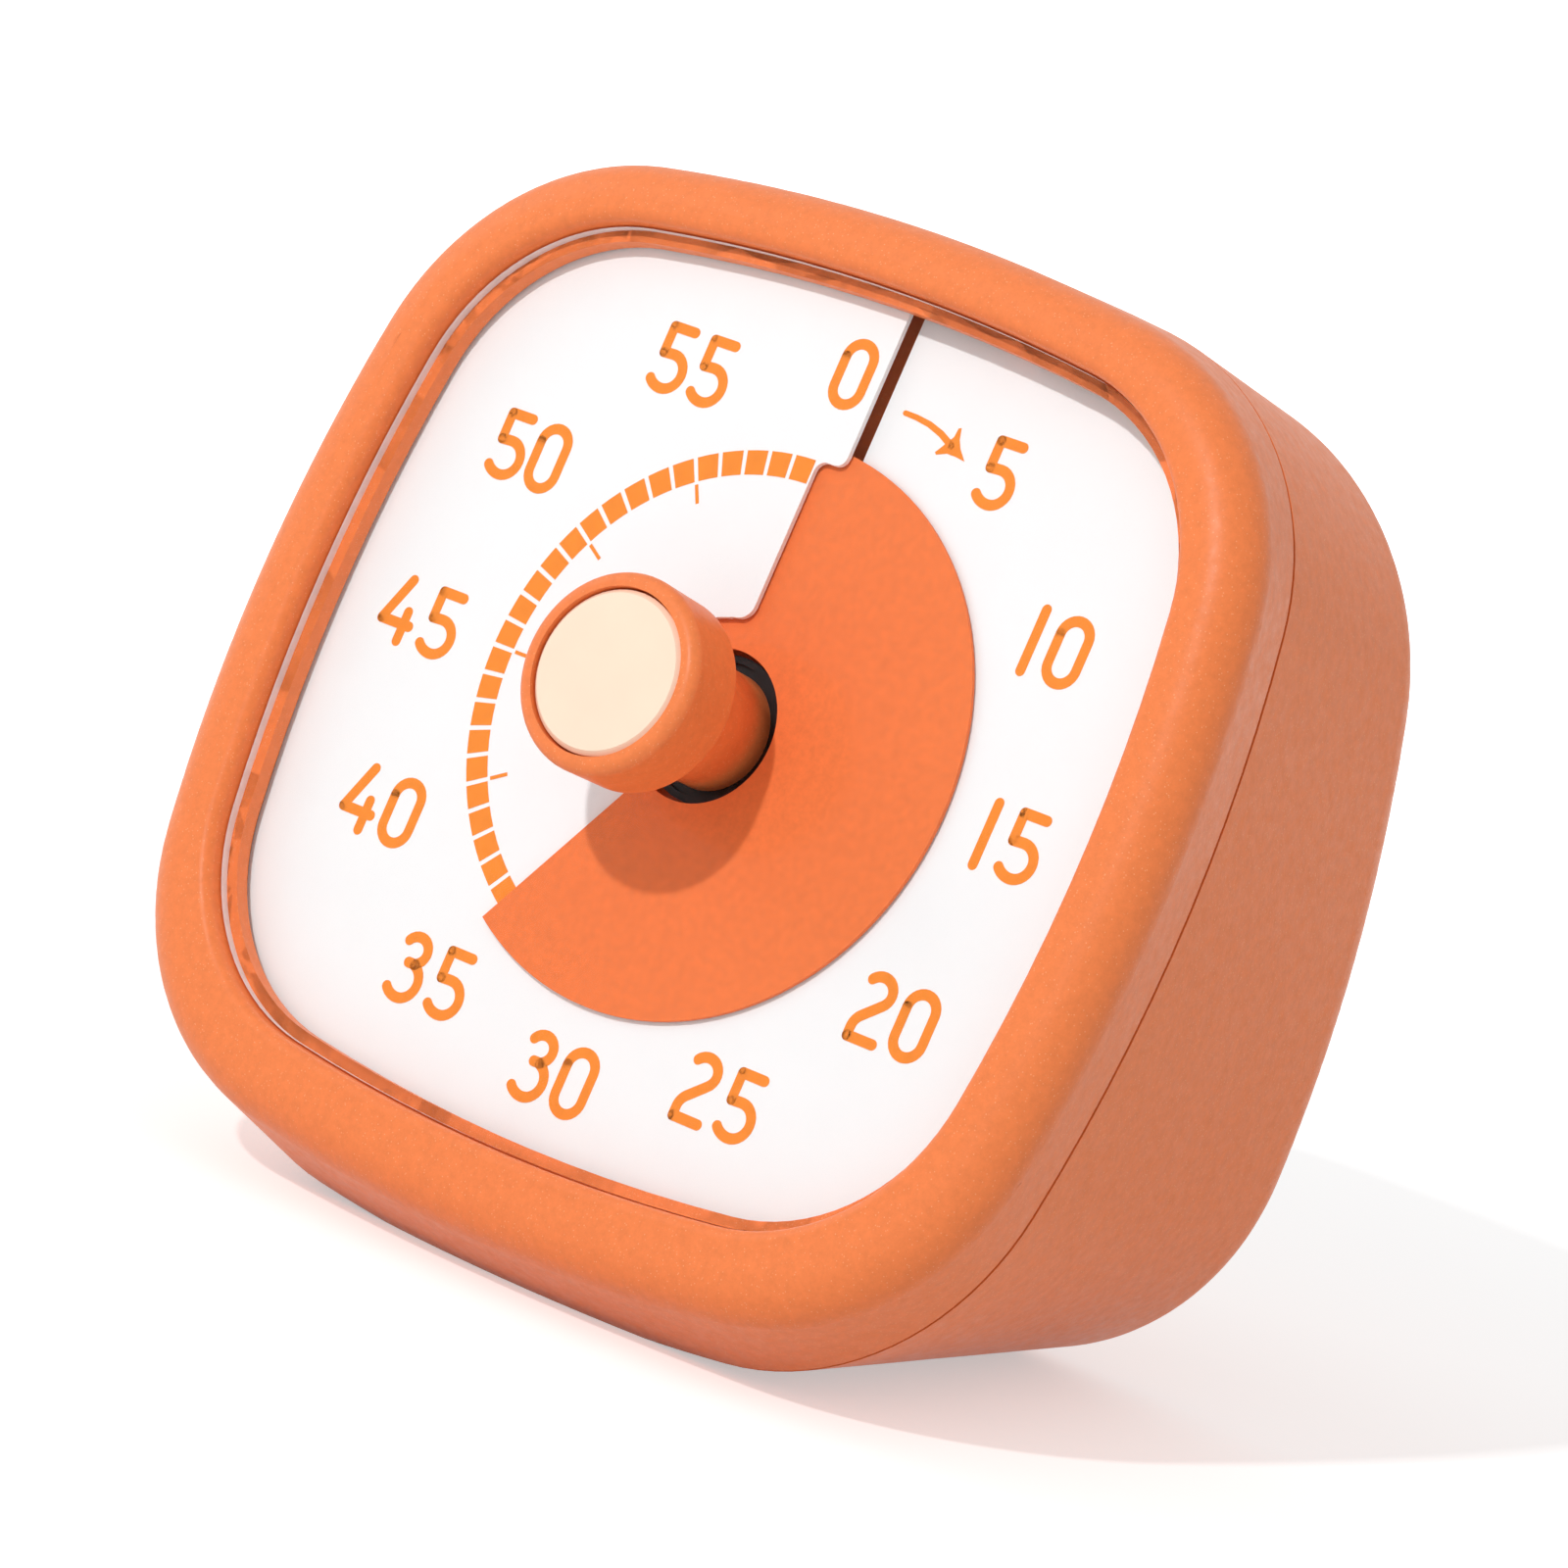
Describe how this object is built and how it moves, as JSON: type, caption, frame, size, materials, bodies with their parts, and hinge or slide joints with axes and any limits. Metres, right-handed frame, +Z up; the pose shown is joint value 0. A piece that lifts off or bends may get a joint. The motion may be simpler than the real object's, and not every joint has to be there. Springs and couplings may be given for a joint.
{
  "type": "visual countdown timer",
  "caption": "Battery countdown timer: rounded square case leaning back on a flat base, numbered slit dial with a coloured disc, and a protruding setting knob.",
  "frame": {"origin": "on the standing surface, below the middle of the timer's bounding box", "axes": "+Z up, +X to the right of someone facing the dial, +Y from the dial to the back"},
  "size_m": [0.0798, 0.0489, 0.0756],
  "materials": {
    "case_orange": "fine sparked matte",
    "disc_orange": "fine grained matte sheet",
    "dial_white": "smooth matte",
    "clear": "polished clear sheet",
    "cream": "smooth satin",
    "black": "satin",
    "movement_plastic": "satin",
    "gear_plastic": "satin",
    "steel": "zinc plated",
    "copper": "enamelled wire",
    "brass": "bright",
    "board_green": "solder mask",
    "battery_skin": "satin label"
  },
  "bodies": {
    "housing": {"front_bezel": "case_orange", "window_lens": "clear", "rear_shell": "case_orange", "dial_plate": "dial_white", "inner_frame": "case_orange", "frame_screws": "steel", "movement_screws": "steel", "shell_screws": "steel", "movement_front": "movement_plastic", "movement_back": "movement_plastic", "stator": "steel", "coil_bobbin": "gear_plastic", "coil_winding": "copper", "circuit_board": "board_green", "control_chip": "black", "quartz_crystal": "steel", "alarm_contact": "brass", "battery": "battery_skin", "positive_contact": "steel", "negative_contact": "steel", "contact_spring": "steel", "sound_board": "board_green", "buzzer": "black", "volume_switch": "black", "board_screws": "steel"},
    "knob": {"knob_body": "case_orange", "knob_inlay": "cream", "disc_hub": "black", "spindle": "steel", "clutch_washer": "steel", "alarm_cam": "gear_plastic"},
    "disc": {"colour_disc": "disc_orange"},
    "centre_wheel": {"centre_wheel": "gear_plastic"},
    "third_wheel": {"third_wheel": "gear_plastic"},
    "seconds_wheel": {"seconds_wheel": "gear_plastic"},
    "step_wheel": {"step_wheel": "gear_plastic"},
    "rotor": {"rotor": "steel"},
    "volume_slider": {"volume_slider": "black"},
    "battery_door": {"battery_door": "case_orange"}
  },
  "joints": [
    {"name": "knob_turn", "type": "hinge", "parent": "housing", "child": "knob", "pos_m": [0, -0.0102, 0.0396], "axis": [0, 0.9659, -0.2588], "range_deg": [-211, 149]},
    {"name": "disc_feed", "type": "slide", "parent": "knob", "child": "disc", "axis": [0, -0.9659, 0.2588], "range_m": [-0.00066, 0.00047]},
    {"name": "seconds_turn", "type": "hinge", "parent": "housing", "child": "seconds_wheel", "pos_m": [0.0121, 0.00069, 0.04314], "axis": [0, -0.9659, 0.2588], "continuous": true},
    {"name": "third_turn", "type": "hinge", "parent": "housing", "child": "third_wheel", "pos_m": [0.0085, -0.00247, 0.03753], "axis": [0, -0.9659, 0.2588], "continuous": true},
    {"name": "centre_turn", "type": "hinge", "parent": "housing", "child": "centre_wheel", "pos_m": [0, -0.0044, 0.03805], "axis": [0, -0.9659, 0.2588], "continuous": true},
    {"name": "step_turn", "type": "hinge", "parent": "housing", "child": "step_wheel", "pos_m": [0.00725, 0.00276, 0.04548], "axis": [0, -0.9659, 0.2588], "continuous": true},
    {"name": "rotor_turn", "type": "hinge", "parent": "housing", "child": "rotor", "pos_m": [0.00485, 0.00094, 0.05027], "axis": [0, -0.9659, 0.2588], "continuous": true},
    {"name": "volume_slide", "type": "slide", "parent": "housing", "child": "volume_slider", "axis": [1, 0, 0], "range_m": [-0.0025, 0.0025]},
    {"name": "door_pull", "type": "slide", "parent": "housing", "child": "battery_door", "axis": [0, 1, 0], "range_m": [0, 0.02]}
  ],
  "couplings": [
    {"joint": "disc_feed", "follows": "knob_turn", "m_per_rad": 0.00017507},
    {"joint": "third_turn", "follows": "seconds_turn", "ratio": -0.125},
    {"joint": "centre_turn", "follows": "seconds_turn", "ratio": 0.016667},
    {"joint": "step_turn", "follows": "seconds_turn", "ratio": -6},
    {"joint": "rotor_turn", "follows": "seconds_turn", "ratio": 30}
  ]
}
